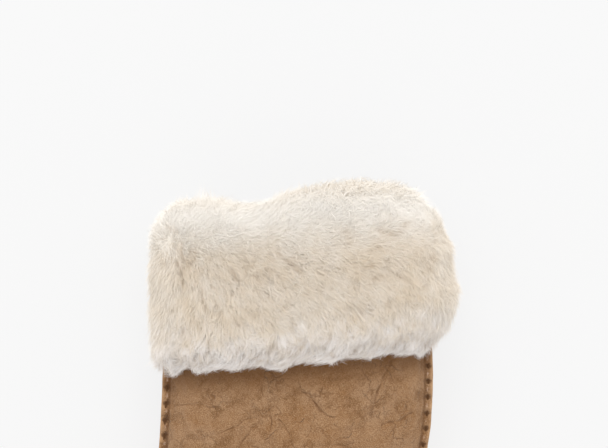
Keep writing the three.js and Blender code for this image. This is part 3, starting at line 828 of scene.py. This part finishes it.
def combed(points, normals):
    """The way the wool lies at each place, along the surface, and how tangled it is there."""
    # The headings of the back: near spots weigh most, and the borders between them wander.
    spots_at = np.array([c[:2] for c in COMB], float)
    headings = np.radians([c[2] for c in COMB])
    wobble = np.stack([cloudy(points, 9, 31), cloudy(points, 9, 32)], axis=1) * 4
    off = np.linalg.norm((points[:, :2] + wobble)[:, None] - spots_at[None], axis=2)
    weight = 1 / (off + 2.0) ** 3
    flow = np.stack([weight @ np.cos(headings), weight @ np.sin(headings)], axis=1)
    flow /= weight.sum(axis=1, keepdims=True)
    way = np.zeros((len(points), 3))
    way[:, :2] = flow
    # On the palm's side the wool lies down the hand, at the rim it opens out round the
    # mouth, and inside the mouth it points out of it.
    below = 1 - ramp(normals[:, 2], -0.25, 0.35)
    way = way * (1 - below)[:, None] + np.array([0, -1.0, 0]) * below[:, None]
    mouth = ramp(points[:, 1], 62, 69)
    upwards = (points[:, 2] - CUFF_MIDDLE) * 0.8
    radial = np.stack([points[:, 0] * 0.4, np.full(len(points), 14.0), upwards], axis=1)
    radial /= np.linalg.norm(radial, axis=1, keepdims=True)
    way = way * (1 - mouth)[:, None] + radial * mouth[:, None]
    way[towards_hand(points, normals)] = (0, 1, 0)
    way -= normals * np.sum(way * normals, axis=1, keepdims=True)
    # Where headings cancel out, the wool has no way of its own and is tangled.
    firm = np.linalg.norm(way, axis=1)
    return unit(way), 1 - ramp(firm, 0.15, 0.65)


# The form's faces as triangles, and the zone of the cuff that each one is in.
ON_BACK, ON_SIDES, ON_PALM, IN_MOUTH, AT_HEM = range(5)
quads = np.array([list(p.vertices) for p in form.data.polygons if len(p.vertices) == 4])
tris = np.concatenate([quads[:, [0, 1, 2]], quads[:, [0, 2, 3]]])
corner = form_points[tris]
square = np.cross(corner[:, 1] - corner[:, 0], corner[:, 2] - corner[:, 0])
area = np.linalg.norm(square, axis=1) / 2
middle, facing = corner.mean(axis=1), unit(form_normals[tris].mean(axis=1))
shut = hidden[tris].mean(axis=1) > 0.4
zone = np.where(facing[:, 2] > 0.12, ON_BACK, ON_SIDES)
zone[facing[:, 2] < -0.3] = ON_PALM
zone[middle[:, 1] > 64] = IN_MOUTH
zone[towards_hand(middle, facing)] = IN_MOUTH
at_lower_edge = (zone < ON_PALM) & (up_cuff(middle) < 4) & (facing[:, 2] > -0.15)

# The wool's lower edge on the back: mm along, by mm across.
HEM = [
    (-57.9, -5.4), (-54.8, -6.4), (-50.2, -4.9), (-48.8, -2.2), (-47.6, -1.8), (-46.6, -5.0),
    (-44.5, -5.9), (-39.8, -5.2), (-34.8, -4.1), (-20.4, -3.6), (-9.8, -4.1), (-5.4, -2.6),
    (-1.7, -2.5), (4.6, -2.1), (10.8, -1.3), (17.1, -1.7), (23.3, -0.8), (29.6, 1.3),
    (35.8, 2.1), (48.3, 2.1),
]
STEPS = 2  # straight runs of each strand
TUFTS = (8.0, 3.2, 1.5)  # how far apart the big, middling and small tufts stand, in mm


def grow(number, faces_of_zone, length, thick, seed):
    """Strands rooted at random over some faces, and the marks that their material reads."""
    rng = np.random.default_rng(seed)

    # Roots, spread evenly over the faces.
    chance = area[faces_of_zone] / area[faces_of_zone].sum()
    chosen = faces_of_zone[rng.choice(len(faces_of_zone), number, p=chance)]
    a, b = rng.random(number), rng.random(number)
    over = a + b > 1
    a[over], b[over] = 1 - a[over], 1 - b[over]
    share = np.stack([1 - a - b, a, b], axis=1)[:, :, None]
    site = (form_points[tris[chosen]] * share).sum(axis=1)
    normal = unit((form_normals[tris[chosen]] * share).sum(axis=1))
    way, tangled = combed(site, normal)
    side = unit(np.cross(normal, way))
    up = up_cuff(site)

    def tufts(spacing, salt):
        """The strands that lead the tufts, and for every strand the tuft that it is in."""
        count = max(4, int(area[faces_of_zone].sum() / spacing**2))
        pick = np.random.default_rng(seed + salt).choice(number, count, replace=False)
        tree = kdtree.KDTree(count)
        for i, j in enumerate(pick):
            tree.insert(site[j], i)
        tree.balance()
        return pick, np.array([tree.find(p)[1] for p in site])

    big_pick, big = tufts(TUFTS[0], 1)
    mid_pick, mid = tufts(TUFTS[1], 2)
    small_pick, small = tufts(TUFTS[2], 3)

    # Each tuft and each strand turns a little from the combed way, and one in five strays.
    straight = 1 - 0.65 * (1 - ramp(up, 3, 15))
    turn = rng.normal(0, 0.15, len(big_pick))[big] + rng.normal(0, 0.15, len(mid_pick))[mid]
    turn += rng.normal(0, 0.16, len(small_pick))[small] + rng.normal(0, 0.3, number) * straight
    stray = rng.random(number) < 0.2
    turn[stray] += rng.normal(0, 0.7, stray.sum())
    turn += tangled * (rng.normal(0, 1.3, len(small_pick))[small] + rng.normal(0, 0.8, number))
    way = way * np.cos(turn)[:, None] + side * np.sin(turn)[:, None]
    side = unit(np.cross(normal, way))

    # How long the strands are and how steeply they rise. A few at the outline are wispy.
    at_side = ramp(np.abs(site[:, 0] + 1), 50, 60) * ramp(site[:, 2], 6, 14)
    at_hem = (1 - ramp(up, 0, 8)) * ramp(normal[:, 2], -0.3, 0.1)
    at_mouth = ramp(up, 58, 66)
    near_hem = (1 - ramp(up, 3, 15)) * ramp(normal[:, 2], -0.3, 0.1)
    between_locks = near_hem * ramp(rng.random(len(small_pick)), 0.45, 0.8)[small]
    long = length * (1 + 0.13 * rng.normal(0, 1, len(mid_pick))[mid] + 0.18 * rng.normal(0, 1, number))
    wispy = np.maximum(at_side, at_mouth) * rng.random(number) ** 2.5
    long = np.clip(long, length * 0.5, length * 1.5) * (1 + 0.25 * at_hem + 0.7 * wispy)
    rise = 1.2 + 0.16 * rng.normal(0, 1, len(mid_pick))[mid] + 0.24 * rng.normal(0, 1, number)
    rise += 0.5 * at_side * rng.random(number) - 0.3 * at_mouth - 0.65 * at_hem
    rise += 1.2 * wispy - 0.4 * tangled
    way[:, 2] = np.where(at_hem > 0.1, np.maximum(way[:, 2], -0.3), way[:, 2])

    # Each strand is walked from its root in the pile, steeply at first, in a slight wave.
    depth = PILE_DEPTH + 0.3 * rng.random(number)
    depth *= ramp(site[:, 2], 0.5, 5) * 0.9 + 0.1
    line = np.zeros((number, STEPS + 1, 3))
    line[:, 0] = site - normal * depth[:, None]
    wave = rng.random(len(small_pick))[small] * 6.28 + rng.normal(0, 1.2, number)
    for k in range(STEPS):
        s = (k + 0.5) / STEPS
        climb = rise * (1.1 - 0.9 * s)
        sway = 0.3 * np.sin(wave + 4.4 * s)
        heading = unit(way + normal * climb[:, None] + side * sway[:, None])
        line[:, k + 1] = line[:, k] + heading * (long / STEPS)[:, None]

    # The tips are drawn towards the strand that leads their tuft, less so in the rim.
    reach = np.arange(STEPS + 1) / STEPS
    even = 1 - 0.6 * ramp(up, 42, 60)
    pulls = (
        (small_pick, small, 0.28 * even + 0.34 * at_hem),
        (mid_pick, mid, 0.12 * even + 0.4 * at_hem),
        (big_pick, big, 0.05 * at_hem),
    )
    for pick, which, pull in pulls:
        guide = line[pick][which]
        draw = (pull * np.where(stray, 0.25, 1.0))[:, None] * reach[None] ** 1.6
        line = line + (guide - line) * draw[:, :, None]

    # No strand stands further out of the form than its slack lets it.
    slack = 0.4 + 1.6 * rng.random(number) ** 1.5 + 3.6 * wispy
    slack += at_hem * 2.4 * rng.random(len(mid_pick))[mid] * ramp(site[:, 0], -56, -40)
    slack[stray] += 0.9 * rng.random(stray.sum())
    for k in range(1, STEPS + 1):
        room_left = slack * (k / STEPS) ** 0.7
        for i, p in enumerate((line[:, k] + ORIGIN) / 1000):
            near, outwards, _, _ = form_tree.find_nearest(Vector(p))
            out = (Vector(p) - near).dot(outwards) * 1000
            if out > room_left[i]:
                line[i, k] -= np.array(outwards) * (out - room_left[i])

    # At the lower edge the locks end unevenly along the hem, with lower wool between them.
    lock_end = (0.3 - 0.6 * rng.random(len(mid_pick)))[mid]
    lock_end = lock_end + rng.normal(0, 0.6, len(small_pick))[small]
    lock_end = (lock_end + rng.normal(0, 0.3, number) + 1.3 * between_locks)[:, None]
    past_hem = np.minimum(0, line[:, :, 1] - np.interp(line[:, :, 0], *zip(*HEM)) - lock_end)
    line[:, :, 1] -= (0.7 + 0.2 * ramp(-line[:, :, 0], 44, 52)) * past_hem
    line -= normal[:, None] * (1.3 * between_locks)[:, None, None] * reach[None, :, None]

    # Partings of the back, sunk into the wool and darkened with painted shade.
    parting = np.zeros((number, STEPS + 1))
    facing_up = np.nonzero(normal[:, 2] > 0.1)[0]
    for k in range(1, STEPS + 1):
        shade, sink = parted(line[facing_up, k])
        parting[facing_up, k] = shade
        line[facing_up, k] -= normal[facing_up] * sink[:, None]
    parting[:, 0] = parting[:, 1]
    # The low wool between the locks gets the same painted shade.
    parting = np.maximum(parting, between_locks[:, None])
    line[:, :, 2] = np.maximum(line[:, :, 2], 0.25 + 0.3 * reach[None])

    # The way that each ribbon faces, mostly up, and down on the palm's side.
    scatter = rng.normal(0, 0.2, (number, 3)) * (1 - 0.5 * at_mouth)[:, None]
    scatter += (rng.normal(0, 0.55, (len(small_pick), 3)))[small] * near_hem[:, None]
    seen = unit(normal * 0.4 + np.array([0, 0, 0.7]) + scatter)
    seen[normal[:, 2] < -0.3] *= (1, 1, -1)

    # Shades: by tuft and by strand, whiter at the lower edge, and whiter at the rim and the sides from
    # paler wool and painted light.
    pale_and_lit = ramp(up, 41, 60) * (1 - 0.35 * ramp(up, 60, 70))
    pale_and_lit = np.maximum(pale_and_lit, 0.4 * ramp(np.abs(site[:, 0]), 48, 60))
    # Tone differs at random by tuft and by strand; the low wool between the locks gets painted shade.
    tone_and_gap_shade = 0.5 + near_hem * 0.12 - 0.6 * between_locks - 0.3 * wispy + 0.24 * (1 - 0.7 * pale_and_lit) * (
        0.25 * rng.normal(0, 1, len(big_pick))[big]
        + 0.3 * rng.normal(0, 1, len(mid_pick))[mid]
        + 0.5 * rng.normal(0, 1, len(small_pick))[small]
        + 0.6 * rng.normal(0, 1, number)
    )
    whiter_near_hem = 1 - ramp(up + 4 * rng.normal(0, 1, len(mid_pick))[mid], 1, 24)
    marks = {"tone_and_gap_shade": np.clip(tone_and_gap_shade, 0, 1), "pale_and_lit": pale_and_lit, "whiter_near_hem": whiter_near_hem}
    return line, seen, parting, marks, thick * (0.75 + 0.5 * rng.random(number))


def strand_mesh(name, line, seen, parting, marks, thick):
    """Builds each strand as a narrow ribbon of quads that ends in a pointed triangle."""
    number = len(line)
    run = unit(np.gradient(line, axis=1))
    flat = unit(np.cross(run, seen[:, None, :]))
    reach = np.arange(STEPS + 1) / STEPS
    half = thick[:, None] / 2 * (1 - 0.45 * reach[None])
    left = line + flat * half[:, :, None]
    right = line - flat * half[:, :, None]
    points = np.empty((number, 2 * STEPS + 1, 3))
    points[:, 0 : 2 * STEPS : 2] = left[:, :STEPS]
    points[:, 1 : 2 * STEPS : 2] = right[:, :STEPS]
    points[:, -1] = line[:, -1]
    first = (np.arange(number) * (2 * STEPS + 1))[:, None]
    quads = [first + np.array([2 * k, 2 * k + 1, 2 * k + 3, 2 * k + 2]) for k in range(STEPS - 1)]
    tip = first + np.array([2 * STEPS - 2, 2 * STEPS - 1, 2 * STEPS])
    corners = np.concatenate(quads + [tip], axis=1).ravel()
    corners_each = 4 * (STEPS - 1) + 3
    starts = (np.arange(number)[:, None] * corners_each + 4 * np.arange(STEPS)[None]).ravel()
    mesh = bpy.data.meshes.new(name)
    mesh.vertices.add(points.shape[0] * points.shape[1])
    mesh.loops.add(len(corners))
    mesh.polygons.add(len(starts))
    mesh.loops.foreach_set("vertex_index", corners.astype(np.int32))
    mesh.polygons.foreach_set("loop_start", starts.astype(np.int32))
    mesh.update(calc_edges=True)
    put_points(mesh, points.reshape(-1, 3))
    mesh.shade_smooth()
    each = np.repeat(reach[:STEPS], 2).tolist() + [1.0]
    mark(mesh, "reach", np.tile(each, number))
    for mark_name, values in marks.items():
        mark(mesh, mark_name, np.repeat(values, 2 * STEPS + 1))
    mark(mesh, "parting", np.repeat(parting, 2, axis=1)[:, : 2 * STEPS + 1].ravel())
    piece = bpy.data.objects.new(name, mesh)
    bpy.context.scene.collection.objects.link(piece)
    return piece


combed_wool, tree, shader, place = new_material("combed cream wool")
reach_mark, tone_mark = marked(tree, "reach"), marked(tree, "tone_and_gap_shade")
clouds = between(tree, spots(tree, place, 13, 3.0, 0.55), 0.38, 0.62)
tips = blended(tree, clouds, (0.845, 0.75, 0.62), (0.875, 0.80, 0.70))
colour = blended(tree, between(tree, reach_mark, 0.0, 0.7), (0.80, 0.695, 0.56), tips)
# Darker where the tone is low: random tone, and painted shade between the locks at the lower edge.
colour = blended(tree, between(tree, tone_mark, 0.05, 0.5, 0.5, 0.0), colour, (0.72, 0.60, 0.455))
colour = blended(tree, between(tree, tone_mark, 0.5, 1.0, 0.0, 0.6), colour, (0.94, 0.89, 0.82))
# Painted light: the rim and the sides are whitened, for light through the thin wool there, on wool
# that is paler there too.
colour = stained(tree, colour, "pale_and_lit", 0.82, (0.97, 0.945, 0.905))
# Whiter towards the wool's lower edge.
colour = stained(tree, colour, "whiter_near_hem", 0.76, (0.985, 0.965, 0.965))
# Painted shade in the partings and in the low wool between the locks.
colour = stained(tree, colour, "parting", 0.5, (0.6, 0.46, 0.31))
tree.links.new(colour, shader.inputs["Base Color"])
tree.links.new(between(tree, tone_mark, 0, 1, 0.85, 0.7), shader.inputs["Roughness"])
shader.inputs["Specular IOR Level"].default_value = 0.25
shader.inputs["Sheen Weight"].default_value = 0.2
shader.inputs["Sheen Roughness"].default_value = 0.4

pile_wool, tree, shader, place = new_material("dense wool pile")
curls = spots(tree, place, 2.0, 4.0, 0.6)
colour = blended(tree, between(tree, curls, 0.3, 0.7), (0.76, 0.66, 0.53), (0.88, 0.80, 0.69))
# Painted light: the pile too is whiter at the rim and the sides, partly paler wool.
colour = stained(tree, colour, "pale_and_lit", 0.85, (0.96, 0.93, 0.87))
tree.links.new(colour, shader.inputs["Base Color"])
tree.links.new(raised(tree, curls, 1.2), shader.inputs["Normal"])
shader.inputs["Roughness"].default_value = 0.9
shader.inputs["Sheen Weight"].default_value = 0.2

form.data.materials.append(pile_wool)
# The rim and the sides of the pile are marked for paler wool and painted light.
at_rim, at_sides = ramp(up_cuff(form_points), 40, 62), ramp(np.abs(form_points[:, 0]), 48, 60)
mark(form.data, "pale_and_lit", np.maximum(at_rim, 0.6 * at_sides))
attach(form, "root")
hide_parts("fur_cuff")

# Zone, how many strands, how long and thick they are in mm, and the seed of their chance.
STRANDS = [
    ("wool_back_under", ON_BACK, 64000, 6.2, 0.16, 21),
    ("wool_back_tips", ON_BACK, 64000, 7.4, 0.15, 22),
    ("wool_sides", ON_SIDES, 22000, 7.0, 0.17, 23),
    ("wool_palm", ON_PALM, 23000, 6.5, 0.26, 24),
    ("wool_mouth", IN_MOUTH, 45000, 6.8, 0.19, 25),
    ("wool_hem", AT_HEM, 8000, 9.0, 0.15, 26),
]
for name, which, number, length, thick, seed in STRANDS:
    here = at_lower_edge if which == AT_HEM else zone == which
    faces = np.nonzero(here & ~shut)[0]
    piece = strand_mesh(name, *grow(number, faces, length, thick, seed))
    piece.data.materials.append(combed_wool)
    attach(piece, "root")
